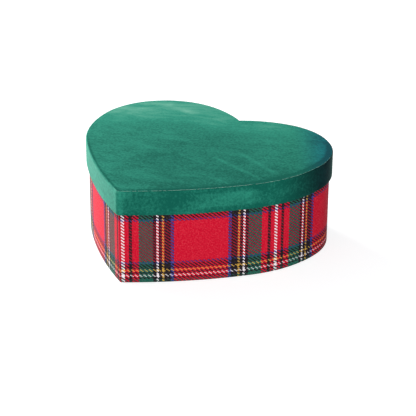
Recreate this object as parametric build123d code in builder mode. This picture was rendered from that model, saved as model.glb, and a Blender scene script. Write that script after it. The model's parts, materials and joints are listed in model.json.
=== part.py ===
from build123d import *
import math
import os

# Heart-shaped gift box with a lift-off lid, in millimetres and degrees.
# The tip points to -Y, the cleft to +Y, and the box stands on z = 0.

# Outline of the lid's outer face, right half, as arcs that run on into each other from the tip
tip_radius = 5.0
side_radius = 400.6
shoulder_radius = 118.0
shoulder_centre_x = 2.1
lobe_radius = 67.4
brow_radius = 104.7
shoulder_angle = -40.5
lobe_angle = -2.8
brow_angle = 98.9
tightest_fold = 0.8

# Heights
base_height = 88.0
lid_rim_height = 23.9

# Thickness of the stock
base_board = 2.0
lid_board = 0.8
lid_top_board_thickness = 1.2
tartan = 0.7
velvet = 0.6
lining_paper = 0.3
stay_tape = 0.1

# Fit of the lid over the base, room over the stays, and the cut edges of the covering
fit_clearance = 0.35
stay_clearance = 0.2
seam_gap = 0.4
tartan_turn_in = 15.0
tartan_turn_under = 14.0
tartan_fold_radius = 0.6
bottom_margin = 4.0
liner_setback = 6.0
velvet_turn_in = 12.0
velvet_turn_over = 11.0
velvet_fold_radius = 0.5
velvet_hem_radius = 0.6
top_sheet_setback = 0.8
stay_reach = 12.0

# Cloth lies on the board over a line of glue that takes in the stays
glue_line = stay_tape + stay_clearance

# Depths inside the lid's outer face, measured square to the outline
lid_board_out = velvet + glue_line
lid_board_in = lid_board_out + lid_board
lid_turn_in_face = lid_board_in + velvet
base_face = lid_turn_in_face + fit_clearance
wall_out = base_face + tartan + glue_line
wall_in = wall_out + base_board
base_turn_in_face = wall_in + tartan

# Levels above the table
cloth_bottom = lining_paper
board_bottom = cloth_bottom + tartan
floor_top = board_bottom + base_board
wall_top = base_height - tartan
turn_in_bottom = base_height - tartan_turn_in
liner_top = base_height - liner_setback
lid_board_bottom = base_height + lining_paper
lid_board_top = lid_board_bottom + lid_top_board_thickness
band_top = lid_board_top + velvet
overall_height = band_top + velvet
hem_bottom = overall_height - lid_rim_height
rim_bottom = hem_bottom + velvet
velvet_turn_in_top = hem_bottom + velvet_turn_in


def polar(radius, angle):
    """Vector of a length at an angle from +X."""
    return Vector(radius, 0).rotate(Axis.Z, angle)


# Centres of the arcs, with the shoulder's centre on the heart's own X axis
shoulder_centre = Vector(shoulder_centre_x, 0)
side_centre = shoulder_centre + polar(shoulder_radius - side_radius, shoulder_angle)
lobe_centre = shoulder_centre + polar(shoulder_radius - lobe_radius, lobe_angle)
brow_centre = lobe_centre + polar(lobe_radius - brow_radius, brow_angle)


def tip_round(depth):
    """Radius of the tip at a depth, down to the tightest fold that board and cloth take."""
    return max(tip_radius - depth, tightest_fold)


def tip_centre(depth):
    """Centre of the tip's rounding, which runs on into both sides."""
    reach = side_radius - depth - tip_round(depth)
    return Vector(0, side_centre.Y - math.sqrt(reach**2 - side_centre.X**2))


def half_outline(depth):
    """Draw the right half of the heart in the line that is open, and give its tip and cleft."""
    tip = tip_centre(depth)
    side_angle = math.degrees(math.atan2(tip.Y - side_centre.Y, tip.X - side_centre.X))
    cleft_angle = math.degrees(math.acos(-brow_centre.X / (brow_radius - depth)))
    tip_arc = CenterArc(tip, tip_round(depth), -90, side_angle + 90)
    CenterArc(side_centre, side_radius - depth, side_angle, shoulder_angle - side_angle)
    CenterArc(shoulder_centre, shoulder_radius - depth, shoulder_angle, lobe_angle - shoulder_angle)
    CenterArc(lobe_centre, lobe_radius - depth, lobe_angle, brow_angle - lobe_angle)
    brow_arc = CenterArc(brow_centre, brow_radius - depth, brow_angle, cleft_angle - brow_angle)
    return tip_arc @ 0, brow_arc @ 1


def heart(depth, mode=Mode.ADD):
    """Whole heart at a depth inside the lid's outer face, in the sketch that is open."""
    with BuildLine() as outline:
        half_outline(depth)
        mirror(about=Plane.YZ)
    make_face(outline.edges(), mode=mode)


def half_heart(depth, mode=Mode.ADD):
    """Right half of the heart, cut along its middle, in the sketch that is open."""
    with BuildLine() as outline:
        tip, cleft = half_outline(depth)
        Line(cleft, tip)
    make_face(outline.edges(), mode=mode)


# The heart's middle comes to y = 0
tip_y = tip_centre(0).Y - tip_round(0)
lobe_y = lobe_centre.Y + lobe_radius
heart_middle = (tip_y + lobe_y) / 2
heart_width = 2 * (lobe_centre.X + lobe_radius)


def level(height):
    """Plane of a heart at a height above the table."""
    return Plane((0, -heart_middle, height))


# Base: floor board inside two bent wall strips that meet at the tip and the cleft

with BuildPart() as base_floor_board:
    with BuildSketch(level(board_bottom)):
        heart(wall_in)
    extrude(amount=base_board)

with BuildPart() as base_wall_right:
    with BuildSketch(level(board_bottom)):
        half_heart(wall_out)
        half_heart(wall_in, mode=Mode.SUBTRACT)
    extrude(amount=wall_top - board_bottom)

with BuildPart() as base_wall_left:
    mirror(base_wall_right.part, about=Plane.YZ)


def stay(board_out, bottom, top, at_tip):
    """Paper tape over a wall joint, on the outside of the board."""
    with BuildPart() as tape:
        with BuildSketch(level(bottom)):
            heart(board_out - stay_tape)
            heart(board_out, mode=Mode.SUBTRACT)
            side = -heart_width if at_tip else heart_width
            with Locations((0, side / 2)):
                Rectangle(2 * stay_reach, heart_width, mode=Mode.INTERSECT)
        extrude(amount=top - bottom)
    return tape


base_tip_stay = stay(wall_out, board_bottom, wall_top, at_tip=True)
base_cleft_stay = stay(wall_out, board_bottom, wall_top, at_tip=False)


def cleft_seam():
    """Cut the gap where the two ends of a wrapped cloth meet in the cleft."""
    with Locations((0, heart_width / 2, overall_height / 2)):
        Box(seam_gap, heart_width, 2 * overall_height, mode=Mode.SUBTRACT)


def outline_edges(face, depth):
    """Edges of a flat face that follow the heart's outline at a depth."""
    arcs = (side_radius, shoulder_radius, lobe_radius, brow_radius)
    radii = [tip_round(depth)] + [radius - depth for radius in arcs]
    curved = face.edges().filter_by(GeomType.CIRCLE)
    return curved.filter_by(lambda edge: min(abs(edge.radius - radius) for radius in radii) < 0.001)


# Tartan cloth round the base, folded in over the rim and under the floor
with BuildPart() as tartan_wrap:
    with BuildSketch(level(cloth_bottom)):
        heart(base_face)
        heart(base_face + tartan, mode=Mode.SUBTRACT)
    extrude(amount=base_height - cloth_bottom)
    with BuildSketch(level(wall_top)):
        heart(base_face)
        heart(base_turn_in_face, mode=Mode.SUBTRACT)
    extrude(amount=tartan)
    with BuildSketch(level(turn_in_bottom)):
        heart(wall_in)
        heart(base_turn_in_face, mode=Mode.SUBTRACT)
    extrude(amount=tartan_turn_in)
    with BuildSketch(level(cloth_bottom)):
        heart(base_face)
        heart(base_face + tartan_turn_under, mode=Mode.SUBTRACT)
    extrude(amount=tartan)
    rim_face = tartan_wrap.faces().sort_by(Axis.Z)[-1]
    foot_face = tartan_wrap.faces().sort_by(Axis.Z)[0]
    folds = outline_edges(rim_face, base_face) + outline_edges(rim_face, base_turn_in_face)
    fillet(folds + outline_edges(foot_face, base_face), tartan_fold_radius)
    cleft_seam()

# Paper lining of the base's wall, which steps over the turned-in cloth
with BuildPart() as base_wall_liner:
    with BuildSketch(level(floor_top)):
        heart(wall_in)
        heart(wall_in + lining_paper, mode=Mode.SUBTRACT)
    extrude(amount=turn_in_bottom - floor_top)
    with BuildSketch(level(turn_in_bottom - lining_paper)):
        heart(wall_in)
        heart(base_turn_in_face + lining_paper, mode=Mode.SUBTRACT)
    extrude(amount=lining_paper)
    with BuildSketch(level(turn_in_bottom - lining_paper)):
        heart(base_turn_in_face)
        heart(base_turn_in_face + lining_paper, mode=Mode.SUBTRACT)
    extrude(amount=liner_top - turn_in_bottom + lining_paper)

with BuildPart() as base_floor_liner:
    with BuildSketch(level(floor_top)):
        heart(wall_in + lining_paper)
    extrude(amount=lining_paper)

# Paper under the base, over the raw edge of the turned-under cloth
with BuildPart() as base_bottom_paper:
    with BuildSketch(level(0)):
        heart(base_face + bottom_margin)
        heart(base_face + tartan_turn_under + lining_paper, mode=Mode.SUBTRACT)
    extrude(amount=lining_paper)
    with BuildSketch(level(0)):
        heart(base_face + tartan_turn_under)
        heart(base_face + tartan_turn_under + lining_paper, mode=Mode.SUBTRACT)
    extrude(amount=board_bottom)
    with BuildSketch(level(board_bottom)):
        heart(base_face + tartan_turn_under)
    extrude(amount=-lining_paper)

# Lid: top board inside two bent rim strips

with BuildPart() as lid_top_board:
    with BuildSketch(level(lid_board_bottom)):
        heart(lid_board_in)
    extrude(amount=lid_top_board_thickness)

with BuildPart() as lid_rim_right:
    with BuildSketch(level(rim_bottom)):
        half_heart(lid_board_out)
        half_heart(lid_board_in, mode=Mode.SUBTRACT)
    extrude(amount=lid_board_top - rim_bottom)

with BuildPart() as lid_rim_left:
    mirror(lid_rim_right.part, about=Plane.YZ)

lid_tip_stay = stay(lid_board_out, rim_bottom, lid_board_top, at_tip=True)
lid_cleft_stay = stay(lid_board_out, rim_bottom, lid_board_top, at_tip=False)

# Velvet band round the rim, folded over on to the top board and in under the lower edge
with BuildPart() as lid_rim_velvet:
    with BuildSketch(level(hem_bottom)):
        heart(0)
        heart(velvet, mode=Mode.SUBTRACT)
    extrude(amount=band_top - hem_bottom)
    with BuildSketch(level(lid_board_top)):
        heart(0)
        heart(velvet_turn_over, mode=Mode.SUBTRACT)
    extrude(amount=velvet)
    with BuildSketch(level(hem_bottom)):
        heart(0)
        heart(lid_turn_in_face, mode=Mode.SUBTRACT)
    extrude(amount=velvet)
    with BuildSketch(level(hem_bottom)):
        heart(lid_board_in)
        heart(lid_turn_in_face, mode=Mode.SUBTRACT)
    extrude(amount=velvet_turn_in)
    hem_face = lid_rim_velvet.faces().sort_by(Axis.Z)[0]
    fold_face = lid_rim_velvet.faces().sort_by(Axis.Z)[-1]
    fold = outline_edges(fold_face, 0)
    fillet(outline_edges(hem_face, 0) + outline_edges(hem_face, lid_turn_in_face), velvet_hem_radius)
    fillet(fold, velvet_fold_radius)
    cleft_seam()

# Velvet heart on top, level over the folded band and glued down to the board inside it
with BuildPart() as lid_top_velvet:
    with BuildSketch(level(band_top)):
        heart(top_sheet_setback)
    extrude(amount=velvet)
    with BuildSketch(level(lid_board_top)):
        heart(velvet_turn_over)
    extrude(amount=velvet)

with BuildPart() as lid_rim_liner:
    with BuildSketch(level(velvet_turn_in_top)):
        heart(lid_board_in)
        heart(lid_board_in + lining_paper, mode=Mode.SUBTRACT)
    extrude(amount=lid_board_bottom - velvet_turn_in_top)

with BuildPart() as lid_top_liner:
    with BuildSketch(level(base_height)):
        heart(lid_board_in + lining_paper)
    extrude(amount=lining_paper)

pieces = {
    "base_floor_board": base_floor_board,
    "base_wall_right": base_wall_right,
    "base_wall_left": base_wall_left,
    "base_tip_stay": base_tip_stay,
    "base_cleft_stay": base_cleft_stay,
    "tartan_wrap": tartan_wrap,
    "base_wall_liner": base_wall_liner,
    "base_floor_liner": base_floor_liner,
    "base_bottom_paper": base_bottom_paper,
    "lid_top_board": lid_top_board,
    "lid_rim_right": lid_rim_right,
    "lid_rim_left": lid_rim_left,
    "lid_tip_stay": lid_tip_stay,
    "lid_cleft_stay": lid_cleft_stay,
    "lid_rim_velvet": lid_rim_velvet,
    "lid_top_velvet": lid_top_velvet,
    "lid_rim_liner": lid_rim_liner,
    "lid_top_liner": lid_top_liner,
}

os.makedirs("parts", exist_ok=True)
for name, piece in pieces.items():
    piece.part.label = name
    export_step(piece.part, f"parts/{name}.step")

print(f"overall {heart_width:.1f} x {lobe_y - tip_y:.1f} x {overall_height:.1f} mm")
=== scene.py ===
import json
import math

import bmesh
import bpy
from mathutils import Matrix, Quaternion, Vector, noise


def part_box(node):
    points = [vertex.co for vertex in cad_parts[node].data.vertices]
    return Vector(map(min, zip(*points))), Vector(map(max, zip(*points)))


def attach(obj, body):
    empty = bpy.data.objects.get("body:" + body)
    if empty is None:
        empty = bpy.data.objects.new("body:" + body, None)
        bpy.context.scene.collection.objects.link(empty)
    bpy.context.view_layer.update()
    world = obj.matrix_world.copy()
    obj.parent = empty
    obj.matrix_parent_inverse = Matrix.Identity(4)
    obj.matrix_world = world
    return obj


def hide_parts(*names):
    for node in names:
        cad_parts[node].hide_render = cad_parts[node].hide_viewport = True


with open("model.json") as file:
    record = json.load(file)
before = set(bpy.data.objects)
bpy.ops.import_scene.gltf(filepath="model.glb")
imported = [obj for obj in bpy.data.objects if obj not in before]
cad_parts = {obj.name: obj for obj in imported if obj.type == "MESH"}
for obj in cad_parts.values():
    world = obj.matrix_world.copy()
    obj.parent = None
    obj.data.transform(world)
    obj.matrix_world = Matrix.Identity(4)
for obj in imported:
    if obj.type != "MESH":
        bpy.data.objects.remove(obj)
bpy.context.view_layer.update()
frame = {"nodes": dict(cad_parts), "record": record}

MM = 0.001

# Heart outline of the lid's outer face, right half, as arcs from the tip round to the cleft
TIP_RADIUS = 5.0 * MM
SIDE_RADIUS = 400.6 * MM
SHOULDER_RADIUS = 118.0 * MM
SHOULDER_CENTRE = Vector((2.1 * MM, 0))
LOBE_RADIUS = 67.4 * MM
BROW_RADIUS = 104.7 * MM
SHOULDER_ANGLE = math.radians(-40.5)
LOBE_ANGLE = math.radians(-2.8)
BROW_ANGLE = math.radians(98.9)
TIGHTEST_FOLD = 0.8 * MM

# Thickness of the covering and what it lies on
VELVET = 0.6 * MM
TARTAN = 0.7 * MM
GLUE_LINE = 0.3 * MM
LID_BOARD = 0.8 * MM
BASE_BOARD = 2.0 * MM
FIT_CLEARANCE = 0.35 * MM
SEAM_GAP = 0.4 * MM

# Cut edges and folds of the covering
TARTAN_TURN_IN = 15.0 * MM
TARTAN_TURN_UNDER = 14.0 * MM
TARTAN_FOLD = 0.9 * MM
VELVET_TURN_IN = 12.0 * MM
VELVET_TURN_OVER = 11.0 * MM
VELVET_FOLD = 0.9 * MM
VELVET_HEM = 1.1 * MM
TOP_SETBACK = 0.8 * MM
TOP_EDGE_ROUND = 0.35 * MM
BACKING = 0.25 * MM

# Depths inside the lid's outer face
LID_BOARD_IN = VELVET + GLUE_LINE + LID_BOARD
LID_INSIDE = LID_BOARD_IN + VELVET
BASE_FACE = LID_INSIDE + FIT_CLEARANCE
WALL_IN = BASE_FACE + TARTAN + GLUE_LINE + BASE_BOARD
BASE_INSIDE = WALL_IN + TARTAN

# Levels, from the solids
CLOTH_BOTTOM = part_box("tartan_wrap")[0].z
RIM_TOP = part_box("tartan_wrap")[1].z
HEM_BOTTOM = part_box("lid_rim_velvet")[0].z
BAND_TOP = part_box("lid_rim_velvet")[1].z
LID_BOARD_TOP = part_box("lid_top_board")[1].z
LID_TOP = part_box("lid_top_velvet")[1].z

# Steps along the outline's arcs, folds and walls, rows of the pile, and the sharpest smooth edge
ARC_STEPS = (6, 16, 16, 30, 16)
FOLD_STEPS = 6
WALL_STEPS = 8
RIM_STEPS = 6
PILE_DEPTHS = (2 * MM, 4 * MM, 8 * MM, 14 * MM, 22 * MM, 30 * MM)
SHEET_MIDDLE = 40 * MM
SHARP_EDGE = math.radians(50)

# Hand-made unevenness of the hem and of the top sheet's cut edge: reach, wave and size
HEM_REACH = 6 * MM
HEM_WAVE = 35 * MM
HEM_UNEVEN = 0.35 * MM
CUT_REACH = 4 * MM
CUT_WAVE = 22 * MM
CUT_UNEVEN = 0.25 * MM
NOISE_LAYER = 0.5

# Tartan: yarns in half a repeat, from the middle of one turning yarn to the middle of the other
WARP_STRIPES = (
    ("white", 1.5), ("red", 4), ("black", 3), ("red", 6), ("green", 13), ("black", 3),
    ("white", 2), ("black", 3), ("yellow", 2), ("black", 6), ("blue", 3), ("red", 25.0),
)
WEFT_STRIPES = (
    ("red", 26.5), ("blue", 3), ("black", 7), ("bright_yellow", 3), ("black", 4), ("bright_white", 3),
    ("black", 3), ("green", 16), ("red", 8), ("black", 2), ("red", 5), ("bright_white", 1.5),
)
WARP_PITCH = 0.975 * MM
WEFT_PITCH = 0.74 * MM
WARP_TURN = 2.6 * MM
WEFT_TURN = 40.4 * MM

# Marks in the velvet's nap, and painted highlights and shade: start, end and width in millimetres, and how
# much lighter they are
TOP_MARKS = (
    ((30.1, 0.5), (89.0, -18.5), 4.0, 0.36),
    ((43.2, 21.6), (95.6, -0.3), 4.5, 0.36),
    ((40.6, -37.0), (73.6, -44.4), 3.0, 0.18),
    ((-0.6, -10.3), (28.0, -17.5), 3.0, 0.18),
    # Painted highlight where the light grazes the back left of the top
    ((-112.0, 52.0), (-48.0, 102.0), 55.0, 0.44),
    ((-58.0, -58.0), (-6.0, -98.0), 32.0, 0.22),
    ((0.0, -62.0), (60.0, -32.0), 30.0, 0.15),
    ((-15.0, 76.0), (58.0, 104.0), 32.0, 0.3),
    ((76.0, 24.0), (102.0, 58.0), 36.0, 0.22),
    ((-99.3, 81.0), (-80.1, 88.2), 7.0, 0.15),
    ((-80.1, 88.2), (-57.3, 84.0), 7.0, 0.15),
    ((-57.3, 84.0), (-45.5, 83.8), 7.0, 0.15),
    ((-51.1, -44.3), (-42.3, -45.6), 2.5, -0.25),
    ((-32.2, -33.1), (-30.2, -33.6), 2.5, -0.25),
    ((-46.9, -31.4), (-44.9, -31.9), 2.5, -0.25),
)
RIM_MARKS = (
    ((64.0, -62.0), (84.0, -40.0), 26.0, 0.4),
    ((8.0, -106.0), (46.0, -77.0), 20.0, -0.1),
    # Painted highlight along the left side of the rim, which faces the light
    ((-12.0, -100.0), (-120.0, 0.0), 30.0, 0.35),
    # Painted highlight on the rounded corner at the tip
    ((-2.0, -109.0), (1.0, -110.0), 8.0, 0.4),
    # Painted shade on the rim's right end
    ((112.0, 2.0), (119.0, 35.0), 30.0, -0.2),
)
DARK_RIM_STRETCH = ((63.0, -62.0), (92.0, -31.0), 18.0, 0.45)

# The photograph's camera, and the way to its right over the table
CAMERA_AZIMUTH = math.radians(32.554)
CAMERA_ELEVATION = math.radians(24.369)
CAMERA_ROLL = math.radians(0.448)
CAMERA_DISTANCE = 1.5161
CAMERA_AIM = Vector((16.66 * MM, 10.53 * MM, 32.92 * MM))
CAMERA_LENS = 140.57
CAMERA_SENSOR = 36.0
RIGHT_X = math.cos(CAMERA_AZIMUTH)
RIGHT_Y = math.sin(CAMERA_AZIMUTH)


def polar(radius, angle):
    """Vector of a length at an angle from +X."""
    return Vector((radius * math.cos(angle), radius * math.sin(angle)))


SIDE_CENTRE = SHOULDER_CENTRE + polar(SHOULDER_RADIUS - SIDE_RADIUS, SHOULDER_ANGLE)
LOBE_CENTRE = SHOULDER_CENTRE + polar(SHOULDER_RADIUS - LOBE_RADIUS, LOBE_ANGLE)
BROW_CENTRE = LOBE_CENTRE + polar(LOBE_RADIUS - BROW_RADIUS, BROW_ANGLE)


def tip_round(depth):
    """Radius of the tip at a depth, down to the tightest fold that the covering takes."""
    return max(TIP_RADIUS - depth, TIGHTEST_FOLD)


def tip_centre(depth):
    """Centre of the tip's rounding, which runs on into both sides."""
    reach = SIDE_RADIUS - depth - tip_round(depth)
    return Vector((0, SIDE_CENTRE.y - math.sqrt(reach**2 - SIDE_CENTRE.x**2)))


HEART_MIDDLE = (tip_centre(0).y - TIP_RADIUS + LOBE_CENTRE.y + LOBE_RADIUS) / 2


def half_outline(depth, gap):
    """Right half of the heart at a depth, tip first, ending half a gap short of the middle."""
    tip = tip_centre(depth)
    side_angle = math.atan2(tip.y - SIDE_CENTRE.y, tip.x - SIDE_CENTRE.x)
    cleft_angle = math.acos((gap / 2 - BROW_CENTRE.x) / (BROW_RADIUS - depth))
    arcs = (
        (tip, tip_round(depth), -math.pi / 2, side_angle),
        (SIDE_CENTRE, SIDE_RADIUS - depth, side_angle, SHOULDER_ANGLE),
        (SHOULDER_CENTRE, SHOULDER_RADIUS - depth, SHOULDER_ANGLE, LOBE_ANGLE),
        (LOBE_CENTRE, LOBE_RADIUS - depth, LOBE_ANGLE, BROW_ANGLE),
        (BROW_CENTRE, BROW_RADIUS - depth, BROW_ANGLE, cleft_angle),
    )
    points = []
    for (centre, radius, start, end), steps in zip(arcs, ARC_STEPS):
        points += [centre + polar(radius, start + (end - start) * step / steps) for step in range(steps)]
    points.append(BROW_CENTRE + polar(BROW_RADIUS - depth, cleft_angle))
    return points


def heart_outline(depth, gap):
    """Whole heart from the cleft round the left side, the tip and the right side to the cleft."""
    right = half_outline(depth, gap)
    left = [Vector((-point.x, point.y)) for point in reversed(right[1:])]
    return left + right


def lengths_from_tip(depth):
    """Length along the outline at each point of heart_outline, negative on the left."""
    right = half_outline(depth, SEAM_GAP)
    lengths = [0.0]
    for start, end in zip(right, right[1:]):
        lengths.append(lengths[-1] + (end - start).length)
    return [-length for length in reversed(lengths[1:])] + lengths


def cut_outline(depth, extras):
    """Heart at a depth without a seam, each point moved in by an extra depth of its own."""
    outer = heart_outline(depth, 0)
    inner = heart_outline(depth + MM, 0)
    return [near + (far - near) * extra / MM for near, far, extra in zip(outer, inner, extras)]


def unevenness(along, wave, size):
    """Small hand-made departure that repeats on every run."""
    return size * noise.noise(Vector((along / wave, wave / MM, NOISE_LAYER)))


def select_points(piece, chosen):
    """Select the points of a piece in edit mode by their station and row."""
    mesh = bmesh.from_edit_mesh(piece.data)
    station = mesh.verts.layers.int["station"]
    row = mesh.verts.layers.int["row"]
    for point in mesh.verts:
        point.select_set(chosen(point[station], point[row]))
    mesh.select_flush_mode()
    bmesh.update_edit_mesh(piece.data)


def place_row(piece, number, points):
    """Put the selected points of a piece on the points of a row."""
    mesh = bmesh.from_edit_mesh(piece.data)
    station = mesh.verts.layers.int["station"]
    row = mesh.verts.layers.int["row"]
    for point in mesh.verts:
        if point.select:
            point[row] = number
            point.co = points[point[station]]
    bmesh.update_edit_mesh(piece.data)


def loft(name, rows, closed):
    """Model a piece from a circle laid on the first row and extruded from row to row."""
    bpy.ops.object.select_all(action="DESELECT")
    bpy.ops.mesh.primitive_circle_add(vertices=len(rows[0]), radius=LOBE_RADIUS)
    piece = bpy.context.object
    piece.name = name
    piece.data.name = name
    bpy.ops.object.mode_set(mode="EDIT")
    mesh = bmesh.from_edit_mesh(piece.data)
    station = mesh.verts.layers.int.new("station")
    mesh.verts.layers.int.new("row")
    for number, point in enumerate(mesh.verts):
        point[station] = number
    bmesh.update_edit_mesh(piece.data)
    if not closed:
        select_points(piece, lambda station, row: station in (0, len(rows[0]) - 1))
        bpy.ops.mesh.delete(type="EDGE")
    bpy.ops.mesh.select_all(action="SELECT")
    place_row(piece, 0, rows[0])
    for number, points in enumerate(rows[1:], 1):
        bpy.ops.mesh.extrude_edges_move()
        place_row(piece, number, points)
    return piece


def finish_cloth(piece, along, across):
    """Turn the faces outwards, lay the cloth's map on the piece and smooth it."""
    bpy.ops.mesh.select_all(action="SELECT")
    bpy.ops.mesh.normals_make_consistent(inside=False)
    bpy.ops.object.mode_set(mode="OBJECT")
    mesh = piece.data
    layout = mesh.uv_layers.new(name="cloth")
    station = mesh.attributes["station"].data
    row = mesh.attributes["row"].data
    for loop in mesh.loops:
        point = loop.vertex_index
        layout.data[loop.index].uv = (along[station[point].value], across[row[point].value])
    bpy.ops.object.shade_smooth_by_angle(angle=SHARP_EDGE)


def fold(depth, level, radius, start, end):
    """Points of a fold's arc in the plane of depth and height, with angles from the inward side."""
    turns = [math.radians(start + (end - start) * step / FOLD_STEPS) for step in range(FOLD_STEPS + 1)]
    return [(depth + radius * math.cos(turn), level + radius * math.sin(turn)) for turn in turns]


def straight(start, end, steps):
    """Points between two places of a profile, without the places themselves."""
    shares = [step / steps for step in range(1, steps)]
    return [tuple(a + (b - a) * share for a, b in zip(start, end)) for share in shares]


def path_lengths(profile, zero):
    """Length along a profile at each of its points, counted from the point numbered zero."""
    lengths = [0.0]
    for start, end in zip(profile, profile[1:]):
        lengths.append(lengths[-1] + math.dist(start, end))
    return [length - lengths[zero] for length in lengths]


def wrapped_strip(name, outer, inner, along, ripple):
    """Closed strip of cloth round the heart: its outer face, its inner face and its cut ends."""
    profile = outer + inner
    rows = []
    for depth, level in profile:
        outline = heart_outline(depth, SEAM_GAP)
        rows.append([
            Vector((point.x, point.y - HEART_MIDDLE, level + ripple(length, level)))
            for point, length in zip(outline, along)
        ])
    strip = loft(name, rows, closed=False)
    select_points(strip, lambda station, row: row in (0, len(rows) - 1))
    bpy.ops.mesh.bridge_edge_loops()
    for end in (0, len(along) - 1):
        select_points(strip, lambda station, row: station == end)
        bpy.ops.mesh.edge_face_add()
    return strip


def tartan_strip():
    """Tartan round the base, from under the floor, up the outside, over the rim and down inside."""
    low = CLOTH_BOTTOM + TARTAN_FOLD
    high = RIM_TOP - TARTAN_FOLD
    outside = BASE_FACE + TARTAN_FOLD
    inside = BASE_INSIDE - TARTAN_FOLD
    outer = [(BASE_FACE + TARTAN_TURN_UNDER, CLOTH_BOTTOM)]
    outer += fold(outside, low, TARTAN_FOLD, 270, 180)
    wall_foot = len(outer) - 1
    outer += straight((BASE_FACE, low), (BASE_FACE, high), WALL_STEPS)
    outer += fold(outside, high, TARTAN_FOLD, 180, 90)
    outer += fold(inside, high, TARTAN_FOLD, 90, 0)
    outer += [(BASE_INSIDE, RIM_TOP - TARTAN_TURN_IN)]
    inner = [
        (WALL_IN, RIM_TOP - TARTAN_TURN_IN),
        (WALL_IN, RIM_TOP - TARTAN),
        (BASE_FACE + TARTAN, RIM_TOP - TARTAN),
        (BASE_FACE + TARTAN, CLOTH_BOTTOM + TARTAN),
        (BASE_FACE + TARTAN_TURN_UNDER, CLOTH_BOTTOM + TARTAN),
    ]
    along = lengths_from_tip(BASE_FACE)
    strip = wrapped_strip("tartan_cloth_wrap", outer, inner, along, lambda length, level: 0.0)
    across = [low + length for length in path_lengths(outer, wall_foot)]
    across += [across[-1]] * len(inner)
    finish_cloth(strip, along, across)
    along[-1] - along[0]
    across[len(outer) - 1] - across[0]
    return strip


def hem_ripple(length, level):
    """How far the velvet band's lower edge strays up or down, less with the height above it."""
    near_hem = max(0.0, 1 - (level - HEM_BOTTOM) / HEM_REACH)
    return near_hem * unevenness(length, HEM_WAVE, HEM_UNEVEN)


def velvet_band():
    """Velvet round the lid's rim, from the top board, over the edge, down, and in under the hem."""
    low = HEM_BOTTOM + VELVET_HEM
    high = BAND_TOP - VELVET_FOLD
    outer = [(VELVET_TURN_OVER, BAND_TOP)]
    outer += fold(VELVET_FOLD, high, VELVET_FOLD, 90, 180)
    outer += straight((0, high), (0, low), RIM_STEPS)
    outer += fold(VELVET_HEM, low, VELVET_HEM, 180, 270)
    outer += fold(LID_INSIDE - VELVET_HEM, low, VELVET_HEM, 270, 360)
    outer += [(LID_INSIDE, HEM_BOTTOM + VELVET_TURN_IN)]
    inner = [
        (LID_BOARD_IN, HEM_BOTTOM + VELVET_TURN_IN),
        (LID_BOARD_IN, HEM_BOTTOM + VELVET),
        (VELVET, HEM_BOTTOM + VELVET),
        (VELVET, LID_BOARD_TOP),
        (VELVET_TURN_OVER, LID_BOARD_TOP),
    ]
    along = lengths_from_tip(0)
    band = wrapped_strip("velvet_rim_band", outer, inner, along, hem_ripple)
    across = path_lengths(outer, 0)
    across += [across[-1]] * len(inner)
    finish_cloth(band, along, across)
    along[-1] - along[0]
    across[-1] - across[0]
    return band


def velvet_sheet():
    """Velvet heart on the lid: its underside, its cut edge with the pale backing, and its pile."""
    edge = LID_TOP - TOP_EDGE_ROUND
    profile = [
        (SHEET_MIDDLE, LID_BOARD_TOP),
        (VELVET_TURN_OVER, LID_BOARD_TOP),
        (VELVET_TURN_OVER, BAND_TOP),
        (TOP_SETBACK, BAND_TOP),
        (TOP_SETBACK, BAND_TOP + BACKING),
    ]
    cut_edge = {len(profile) - 2, len(profile) - 1}
    profile += fold(TOP_SETBACK + TOP_EDGE_ROUND, edge, TOP_EDGE_ROUND, 180, 90)
    profile += [(depth, LID_TOP) for depth in PILE_DEPTHS]
    profile += [(SHEET_MIDDLE, LID_TOP)]
    along = lengths_from_tip(0)[:-1]
    rows = []
    for depth, level in profile:
        near_edge = max(0.0, 1 - depth / CUT_REACH)
        extras = [near_edge * unevenness(length, CUT_WAVE, CUT_UNEVEN) for length in along]
        outline = cut_outline(depth, extras)
        rows.append([Vector((point.x, point.y - HEART_MIDDLE, level)) for point in outline])
    sheet = loft("velvet_top_sheet", rows, closed=True)
    for end in (0, len(rows) - 1):
        select_points(sheet, lambda station, row: row == end)
        bpy.ops.mesh.edge_face_add()
    finish_cloth(sheet, along, [depth for depth, level in profile])
    row = sheet.data.attributes["row"].data
    for face in sheet.data.polygons:
        face.material_index = int({row[point].value for point in face.vertices} == cut_edge)
    return sheet


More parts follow.
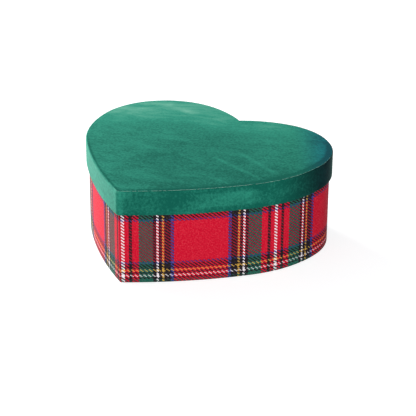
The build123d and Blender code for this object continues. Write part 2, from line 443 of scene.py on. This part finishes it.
class Value:
    """A number in a shader, so that shader sums read as plain arithmetic."""

    def __init__(self, tree, socket):
        self.tree = tree
        self.socket = socket

    def feed(self, term, slot):
        """Link a value of the shader to a socket, or set the socket to a plain one."""
        if isinstance(term, Value):
            self.tree.links.new(term.socket, slot)
        else:
            slot.default_value = term

    def math(self, operation, *terms):
        """Add a Math node and give its result."""
        node = self.tree.nodes.new("ShaderNodeMath")
        node.operation = operation
        for term, slot in zip(terms, node.inputs):
            self.feed(term, slot)
        return Value(self.tree, node.outputs[0])

    def __add__(self, other):
        return self.math("ADD", self, other)

    def __radd__(self, other):
        return self.math("ADD", other, self)

    def __sub__(self, other):
        return self.math("SUBTRACT", self, other)

    def __rsub__(self, other):
        return self.math("SUBTRACT", other, self)

    def __mul__(self, other):
        return self.math("MULTIPLY", self, other)

    def __rmul__(self, other):
        return self.math("MULTIPLY", other, self)

    def __truediv__(self, other):
        return self.math("DIVIDE", self, other)

    def __rtruediv__(self, other):
        return self.math("DIVIDE", other, self)

    def __gt__(self, other):
        return self.math("GREATER_THAN", self, other)

    def __lt__(self, other):
        return self.math("LESS_THAN", self, other)

    def floor(self):
        return self.math("FLOOR", self)

    def sine(self):
        return self.math("SINE", self)

    def root(self):
        return self.math("SQRT", self)

    def least(self, other):
        return self.math("MINIMUM", self, other)

    def most(self, other):
        return self.math("MAXIMUM", self, other)

    def bounce(self, length):
        return self.math("PINGPONG", self, length)

    def rise(self, low, high):
        """Smooth step from 0 at low to 1 at high."""
        node = self.tree.nodes.new("ShaderNodeMapRange")
        node.interpolation_type = "SMOOTHSTEP"
        for slot, term in (("Value", self), ("From Min", low), ("From Max", high)):
            self.feed(term, node.inputs[slot])
        return Value(self.tree, node.outputs["Result"])


def colour(red, green, blue):
    """Linear colour of a red, green and blue from 0 to 255 as a picture shows them."""
    shares = [part / 255 for part in (red, green, blue)]
    return tuple(s / 12.92 if s <= 0.04045 else ((s + 0.055) / 1.055) ** 2.4 for s in shares) + (1.0,)


class Finish:
    """The nodes that make a material, or the light of the surroundings."""

    def __init__(self, owner, shader="Principled BSDF"):
        owner.use_nodes = True
        self.owner = owner
        self.tree = owner.node_tree
        self.shader = self.tree.nodes[shader]

    def node(self, kind, settings, inputs, output=0):
        """Add a node, set it up, feed its sockets and give one of its outputs."""
        node = self.tree.nodes.new("ShaderNode" + kind)
        for name, setting in settings.items():
            if name == "stops":
                self.set_stops(node.color_ramp, setting)
            else:
                setattr(node, name, setting)
        value = Value(self.tree, node.outputs[output])
        for name, term in inputs.items():
            value.feed(term, node.inputs[name])
        return value

    def set_stops(self, ramp, stops):
        """Give a ramp hard-edged stops, in order from its start, in place of its own two."""
        ramp.interpolation = "CONSTANT"
        for place, unused in stops[1:]:
            ramp.elements.new(place)
        ramp.elements.remove(ramp.elements[-1])
        for element, (place, shade) in zip(ramp.elements, stops):
            element.position = place
            element.color = shade

    def split(self, vector):
        """The three numbers of a vector."""
        parts = self.node("SeparateXYZ", {}, {0: vector}).socket.node.outputs
        return [Value(self.tree, part) for part in parts]

    def place(self):
        """Place on the piece, in metres."""
        return self.node("TexCoord", {}, {}, output="Object")

    def cloth_map(self):
        """Lengths along and across a piece of cloth, from its own map."""
        along, across, unused = self.split(self.node("UVMap", {"uv_map": "cloth"}, {}))
        return along, across

    def seen(self):
        """1 as the camera sees the surface, and 0 as the surface lights the box."""
        return self.node("LightPath", {}, {}, output="Is Camera Ray")

    def noise(self, place, size, detail=2.0, stretch=(1, 1, 1), roughness=0.5, turn=0.0, twist=0.0):
        """Noise from 0 to 1 with features of a size in metres, drawn out, turned about Z and twisted."""
        turning = {"Vector": place, "Angle": math.radians(turn)}
        turned = self.node("VectorRotate", {"rotation_type": "Z_AXIS"}, turning)
        scale = tuple(1 / (size * part) for part in stretch)
        scaled = self.node("Mapping", {}, {"Vector": turned, "Scale": scale})
        form = {"Detail": detail, "Roughness": roughness, "Distortion": twist}
        return self.node("TexNoise", {}, {"Vector": scaled, "Scale": 1.0, **form})

    def mix(self, share, first, second, blend="MIX"):
        """Two colours mixed by a share from 0, the first, to 1, the second."""
        settings = {"data_type": "RGBA", "blend_type": blend}
        return self.node("Mix", settings, {0: share, 6: first, 7: second}, output=2)

    def bump(self, height, depth, strength):
        """Relief from a height, with a depth in metres for a height of 1."""
        inputs = {"Height": height, "Distance": depth, "Strength": strength}
        return self.node("Bump", {}, inputs)

    def set(self, **sockets):
        """Feed the shader's sockets, named with underscores for spaces."""
        for name, term in sockets.items():
            Value(self.tree, None).feed(term, self.shader.inputs[name.replace("_", " ")])


# Tartan's yarns, with brighter ones for the light lines of the weft
YARN = {
    "red": colour(204, 7, 43),
    "green": colour(18, 92, 76),
    "black": colour(22, 20, 26),
    "blue": colour(56, 60, 138),
    "yellow": colour(197, 152, 65),
    "white": colour(240, 230, 234),
    "bright_yellow": colour(242, 192, 78),
    "bright_white": colour(254, 248, 250),
}
LINT = colour(236, 190, 190)

# How the yarns lie: their roundness, how far the warp stands over the weft, and the twill's turn per yarn
YARN_ROUND = 0.5
WARP_LEAD = 0.6
TWILL_TURN = math.pi / 2
STRAY_SIZE = 0.9 * MM
STRAY_YARNS = 0.4
CROSSING_HEIGHTS = (0.3, 1.0)

# Shade, lint and relief of the brushed tartan
FUZZ_SIZE = 1.2 * MM
HOLLOW_SHADE = 0.88
CROWN_SHADE = 0.1
FUZZ_SHADE = 0.5
LINT_FUZZ = (0.4, 0.8)
LINT_SHARE = 0.065
FUZZ_HEIGHT = 0.5
WEAVE_DEPTH = 0.25 * MM
CLOTH_RELIEF = 0.4
TARTAN_ROUGHNESS = 0.86
FUZZ_ROUGHNESS = 0.1
TARTAN_GLOSS = {"Specular_IOR_Level": 0.12, "Sheen_Weight": 0.12, "Sheen_Roughness": 0.24}


def yarn_colour(cloth, yarn, stripes):
    """Colour of a numbered yarn, from half a repeat of stripes that turns back at both ends."""
    total = sum(count for name, count in stripes)
    stops = []
    yarns = 0
    for name, count in stripes:
        stops.append((yarns / total, YARN[name]))
        yarns += count
    return cloth.node("ValToRGB", {"stops": stops}, {0: yarn.bounce(total) / total})


def tartan_finish():
    """Brushed tartan in a two-and-two twill, worked out yarn by yarn."""
    cloth = Finish(bpy.data.materials.new("tartan_cloth"))
    place = cloth.place()
    along, across = cloth.cloth_map()
    stray = (cloth.noise(place, STRAY_SIZE) - 0.5) * STRAY_YARNS
    end = (along - WARP_TURN) / WARP_PITCH + stray
    pick = (across - WEFT_TURN) / WEFT_PITCH + stray
    warp_yarn = (end + 0.5).floor()
    weft_yarn = (pick + 0.5).floor()
    warp = yarn_colour(cloth, warp_yarn, WARP_STRIPES)
    weft = yarn_colour(cloth, weft_yarn, WEFT_STRIPES)
    warp_side = (end - warp_yarn) * 2
    weft_side = (pick - weft_yarn) * 2
    warp_wave = ((warp_yarn + pick) * TWILL_TURN).sine()
    weft_wave = ((end + weft_yarn) * -TWILL_TURN).sine()
    warp_height = warp_wave - warp_side * warp_side * YARN_ROUND + WARP_LEAD
    weft_height = weft_wave - weft_side * weft_side * YARN_ROUND
    height = warp_height.most(weft_height)
    upper = cloth.mix(warp_height > weft_height, weft, warp)
    # Painted shade in the gaps between floats: there the darker of the two yarns shows
    crossing_shade = cloth.mix(1.0, warp, weft, "DARKEN")
    yarn = cloth.mix(height.rise(*CROSSING_HEIGHTS), crossing_shade, upper)
    fuzz = cloth.noise(place, FUZZ_SIZE, detail=3.0, roughness=0.6)
    shade = HOLLOW_SHADE + height * CROWN_SHADE + (fuzz - 0.5) * FUZZ_SHADE
    grey = cloth.node("CombineXYZ", {}, {0: shade, 1: shade, 2: shade})
    shaded = cloth.mix(1.0, yarn, grey, "MULTIPLY")
    brushed = cloth.mix(fuzz.rise(*LINT_FUZZ) * LINT_SHARE, shaded, LINT)
    nap = cloth.bump(height + fuzz * FUZZ_HEIGHT, WEAVE_DEPTH, CLOTH_RELIEF)
    cloth.set(Base_Color=brushed, Roughness=TARTAN_ROUGHNESS + fuzz * FUZZ_ROUGHNESS, Normal=nap)
    cloth.set(**TARTAN_GLOSS)
    return cloth.owner


# Velvet's pile: its colours, from deep to light, and a pale that serves both pale pile and painted
# highlight
VELVET_DEEP = colour(9, 88, 74)
VELVET_LIGHT = colour(42, 136, 114)
VELVET_PALE_AND_HIGHLIGHT = colour(114, 176, 153)

# The velvets of the lid's top and rim: marks, where the painted shade at the right end starts, and gloss
TOP_VELVET = {
    "marks": TOP_MARKS,
    "right_shade_start": 97 * MM,
    "right_shade_colours": (colour(4, 64, 76), colour(10, 110, 118)),
    "stroke": {"stretch": (2.2, 0.9, 0.6), "turn": -20, "twist": 1.0},
    "gloss": {"Specular_IOR_Level": 0.02, "Sheen_Weight": 0.18, "Sheen_Tint": colour(150, 235, 208)},
}
RIM_VELVET = {
    "marks": RIM_MARKS,
    "right_shade_start": 75 * MM,
    "right_shade_colours": (colour(0, 22, 28), colour(2, 46, 52)),
    "stroke": {"stretch": (2.5, 2.5, 0.9), "twist": 0.4},
    "gloss": {"Specular_IOR_Level": 0.1, "Sheen_Weight": 0.3, "Sheen_Tint": colour(186, 240, 222)},
}
RIGHT_SHADE_END = 132 * MM

# Lie of the nap: sizes of its patches, strokes and grain, how far each turns it, and a painted lightening
# towards the back
PATCH_SIZE = 60 * MM
STROKE_SIZE = 12 * MM
GRAIN_SIZE = 2.2 * MM
PATCH_LIE = 0.9
STROKE_LIE = 0.9
GRAIN_LIE = 1.6
PAINTED_LIGHT_TO_BACK = 0.3 / (100 * MM)
EVEN_LIE = 0.45
PALE_GRAIN = 0.3
PALE_LIE = (0.55, 1.6)
PILE_DEPTH = 0.3 * MM
PILE_ROUGHNESS = 0.9
LEAN_ROUGHNESS = 0.1
SHEEN_ROUGHNESS = 0.3

# Top sheet's cut edge: lengths from the tip where painted shade lies just inside it and where it is
# frayed, and the depths of that painted shade
EDGE_SHADE_START = (-150 * MM, -100 * MM)
FRAYED_START = (-30 * MM, 20 * MM)
CUT_EDGE_END = (235 * MM, 265 * MM)
EDGE_SHADE_OUTER = (0.9 * MM, 1.6 * MM)
EDGE_SHADE_INNER = 2.0 * MM
EDGE_SHADE_FADE = 4.0 * MM
EDGE_SHADE_FADE_RIGHT = 5.0 * MM
EDGE_SHADE_DARK = 0.5
EDGE_SHADE_DARK_RIGHT = 0.7

# Dark bands along the rim's foot and top
FOOT_BAND = (HEM_BOTTOM + 3.5 * MM, HEM_BOTTOM + 7.0 * MM)
TOP_BAND = (LID_TOP - 8.0 * MM, LID_TOP - 3.0 * MM)

# Tufts and backing in the cut edge
BACKING_COLOUR = colour(136, 178, 164)
TUFT_SIZE = 3.0 * MM
PALE_TUFTS = (0.35, 0.55)


def brush_mark(x, y, start, end, width, strength):
    """Soft stroke of lighter or darker pile from one place to another."""
    run_x = end[0] - start[0]
    run_y = end[1] - start[1]
    from_x = x - start[0] * MM
    from_y = y - start[1] * MM
    along = (from_x * run_x + from_y * run_y) / (MM * (run_x**2 + run_y**2))
    share = along.most(0.0).least(1.0)
    off_x = from_x - share * (run_x * MM)
    off_y = from_y - share * (run_y * MM)
    away = (off_x * off_x + off_y * off_y).root()
    return (1 - away.rise(0.0, width * MM)) * strength


def painted_edge_shade(velvet):
    """Painted shade just inside the cut edge of the top sheet, darker to the right."""
    along, depth = velvet.cloth_map()
    front = along.rise(*EDGE_SHADE_START) * (1 - along.rise(*CUT_EDGE_END))
    rightwards = along.rise(0.0, CUT_EDGE_END[0])
    inner_side = EDGE_SHADE_FADE + rightwards * EDGE_SHADE_FADE_RIGHT
    edge_band = depth.rise(*EDGE_SHADE_OUTER) * (1 - depth.rise(EDGE_SHADE_INNER, inner_side))
    return edge_band * front * (-EDGE_SHADE_DARK - rightwards * EDGE_SHADE_DARK_RIGHT)


def darker_rim_edges(x, y, z):
    """Darker along the top and foot of the rim, over the stretch of its right front that is lighter."""
    middle = z.rise(*FOOT_BAND) * (1 - z.rise(*TOP_BAND))
    return (middle - 1) * brush_mark(x, y, *DARK_RIM_STRETCH)


def velvet_finish(name, cut, marks, right_shade_start, right_shade_colours, stroke, gloss):
    """Short green pile, lighter or darker with the lie of its nap and with painted highlight and shade."""
    velvet = Finish(bpy.data.materials.new(name))
    place = velvet.place()
    patches = velvet.noise(place, PATCH_SIZE)
    strokes = velvet.noise(place, STROKE_SIZE, detail=3.0, **stroke)
    grain = velvet.noise(place, GRAIN_SIZE, roughness=0.7)
    x, y, z = velvet.split(place)
    rightwards = x * RIGHT_X + y * RIGHT_Y
    backwards = y * RIGHT_X - x * RIGHT_Y
    # The lie carries the nap's patches and strokes, and painted light that grows towards the back
    lie_and_light = (patches - 0.5) * PATCH_LIE + (strokes - 0.5) * STROKE_LIE + backwards * PAINTED_LIGHT_TO_BACK
    for mark in marks:
        lie_and_light = lie_and_light + brush_mark(x, y, *mark)
    lie_and_light = lie_and_light + (painted_edge_shade(velvet) if cut else darker_rim_edges(x, y, z))
    lean_and_light = lie_and_light + (grain - 0.5) * GRAIN_LIE
    # Painted shade: the pile turns darker and bluer towards the right end, away from the light
    away = rightwards.rise(right_shade_start, RIGHT_SHADE_END)
    deep = velvet.mix(away, VELVET_DEEP, right_shade_colours[0])
    light = velvet.mix(away, VELVET_LIGHT, right_shade_colours[1])
    pile = velvet.mix(lean_and_light + EVEN_LIE, deep, light)
    # Pale pile, and painted highlight where the marks paint light
    pile = velvet.mix((lie_and_light + grain * PALE_GRAIN).rise(*PALE_LIE), pile, VELVET_PALE_AND_HIGHLIGHT)
    velvet.set(Base_Color=pile, Roughness=PILE_ROUGHNESS - lean_and_light * LEAN_ROUGHNESS)
    velvet.set(Normal=velvet.bump(lean_and_light, PILE_DEPTH, CLOTH_RELIEF))
    velvet.set(Sheen_Roughness=SHEEN_ROUGHNESS, **gloss)
    return velvet.owner


def backing_finish():
    """Cut edge of the top sheet, pale where the backing shows between the tufts."""
    edge = Finish(bpy.data.materials.new("velvet_cut_edge"))
    along, unused = edge.cloth_map()
    tufts = edge.noise(edge.place(), TUFT_SIZE, detail=4.0, roughness=0.7)
    frayed = along.rise(*FRAYED_START) * (1 - along.rise(*CUT_EDGE_END))
    shade = edge.mix(tufts.rise(*PALE_TUFTS) * frayed, VELVET_DEEP, BACKING_COLOUR)
    edge.set(Base_Color=shade, Roughness=PILE_ROUGHNESS - tufts * LEAN_ROUGHNESS, Specular_IOR_Level=0.1)
    return edge.owner


# Board and papers: tone, fleck and size of the fibres
PAPERS = {
    "grey_board": (colour(158, 152, 142), colour(128, 122, 114), 1.2 * MM),
    "lining_paper": (colour(238, 234, 224), colour(222, 217, 204), 0.7 * MM),
    "stay_paper": (colour(184, 150, 108), colour(160, 126, 86), 0.9 * MM),
}
FIBRES_TO_CLOUD = 9
FIBRE_STRETCH = (3, 1, 1)
FIBRE_FLECKS = (0.3, 0.75)
FIBRE_DEPTH = 0.05 * MM
FIBRE_RELIEF = 0.5
PAPER_ROUGHNESS = 0.82
FIBRE_ROUGHNESS = 0.15


def paper_finish(name, tone, fleck, size):
    """Uncoated paper or board with fibres in it."""
    paper = Finish(bpy.data.materials.new(name))
    place = paper.place()
    clouds = paper.noise(place, FIBRES_TO_CLOUD * size, detail=4.0)
    fibres = paper.noise(place, size, detail=5.0, stretch=FIBRE_STRETCH, roughness=0.7)
    shade = paper.mix((clouds * 0.5 + fibres * 0.5).rise(*FIBRE_FLECKS), tone, fleck)
    roughness = PAPER_ROUGHNESS + fibres * FIBRE_ROUGHNESS
    paper.set(Base_Color=shade, Roughness=roughness, Specular_IOR_Level=0.25)
    paper.set(Normal=paper.bump(fibres, FIBRE_DEPTH, FIBRE_RELIEF))
    return paper.owner


def dress():
    """Give every shown piece its body and its finish, and hide the solid that it stands for."""
    rim_velvet = velvet_finish("rim_velvet", cut=False, **RIM_VELVET)
    top_velvet = velvet_finish("top_velvet", cut=True, **TOP_VELVET)
    covers = (
        (tartan_strip(), "base", "tartan_wrap", "tartan_cloth", [tartan_finish()]),
        (velvet_band(), "lid", "lid_rim_velvet", "green_velvet", [rim_velvet]),
        (velvet_sheet(), "lid", "lid_top_velvet", "green_velvet", [top_velvet, backing_finish()]),
    )
    for piece, body, node, slot, finishes in covers:
        for finish in finishes:
            piece.data.materials.append(finish)
        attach(piece, body)
        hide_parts(node)
    papers = {name: paper_finish(name, *paper) for name, paper in PAPERS.items()}
    for part in frame["record"]["subparts"]:
        if part["material_slot"] in papers:
            node = frame["nodes"][part["node"]]
            node.data.materials.clear()
            node.data.materials.append(papers[part["material_slot"]])


# Lamps: place, size and power
LAMPS = {
    "key_left": ((-1.66, 0.2, 0.5), 1.0, 79.0),
    "fill_front": ((1.476, -1.174, 0.6), 1.2, 34.5),
}

# Floor and surroundings, as they light the box and as the camera sees them
FLOOR_SIZE = 8
FLOOR_TONE = (0.3, 0.3, 0.3, 1)
FLOOR_TONE_SEEN = (0.45, 0.45, 0.45, 1)
FLOOR_GLOW = (0, 0, 0, 1)
FLOOR_GLOW_SEEN = (0.755, 0.755, 0.755, 1)
FLOOR_ROUGHNESS = 0.9
LIGHT_GLOW = (0.75, 0.75, 0.75, 1)
SHADE_GLOW = (0.04, 0.06, 0.09, 1)
GLOW_SEEN = (1, 1, 1, 1)
GLOW_TURN = (-0.6, 0.9)


def area_light(name, place, size, power):
    """Square lamp that points at the middle of the base."""
    light = bpy.data.lights.new(name, "AREA")
    light.size = size
    light.energy = power
    lamp = bpy.data.objects.new(name, light)
    lamp.location = place
    aim = Vector((0, 0, RIM_TOP / 2)) - Vector(place)
    lamp.rotation_euler = aim.to_track_quat("-Z", "Y").to_euler()
    bpy.context.scene.collection.objects.link(lamp)


def studio_floor():
    """Pale floor that shows white and keeps the box's shadow."""
    bpy.ops.object.select_all(action="DESELECT")
    bpy.ops.mesh.primitive_plane_add(size=FLOOR_SIZE)
    floor = bpy.context.object
    floor.name = "studio_floor"
    ground = Finish(bpy.data.materials.new("studio_floor"))
    seen = ground.seen()
    tone = ground.mix(seen, FLOOR_TONE, FLOOR_TONE_SEEN)
    glow = ground.mix(seen, FLOOR_GLOW, FLOOR_GLOW_SEEN)
    ground.set(Base_Color=tone, Roughness=FLOOR_ROUGHNESS, Specular_IOR_Level=0.0)
    ground.set(Emission_Color=glow, Emission_Strength=1.0)
    floor.data.materials.append(ground.owner)


def surroundings():
    """White to the camera, and a soft glow on the box that is brighter from the left."""
    bpy.context.scene.world = bpy.data.worlds.new("studio")
    sky = Finish(bpy.context.scene.world, "Background")
    x, y, unused = sky.split(sky.node("TexCoord", {}, {}, output="Generated"))
    from_left = (0 - x * RIGHT_X - y * RIGHT_Y).rise(*GLOW_TURN)
    glow = sky.mix(from_left, SHADE_GLOW, LIGHT_GLOW)
    sky.set(Color=sky.mix(sky.seen(), glow, GLOW_SEEN), Strength=1.0)


def studio():
    """White studio, with a key from behind the left side and a fill from the camera's right."""
    bpy.context.scene.view_settings.view_transform = "Standard"
    for name, lamp in LAMPS.items():
        area_light(name, *lamp)
    studio_floor()
    surroundings()


def photo_camera():
    """Camera at the photograph's place and length of lens."""
    back = Vector((
        math.sin(CAMERA_AZIMUTH) * math.cos(CAMERA_ELEVATION),
        -math.cos(CAMERA_AZIMUTH) * math.cos(CAMERA_ELEVATION),
        math.sin(CAMERA_ELEVATION),
    ))
    data = bpy.data.cameras.new("photo_camera")
    data.lens = CAMERA_LENS
    data.sensor_width = CAMERA_SENSOR
    camera = bpy.data.objects.new("photo_camera", data)
    camera.location = CAMERA_AIM + back * CAMERA_DISTANCE
    aimed = (-back).to_track_quat("-Z", "Y")
    camera.rotation_euler = (aimed @ Quaternion((0, 0, 1), CAMERA_ROLL)).to_euler()
    bpy.context.scene.collection.objects.link(camera)
    bpy.context.scene.camera = camera


dress()
studio()
photo_camera()
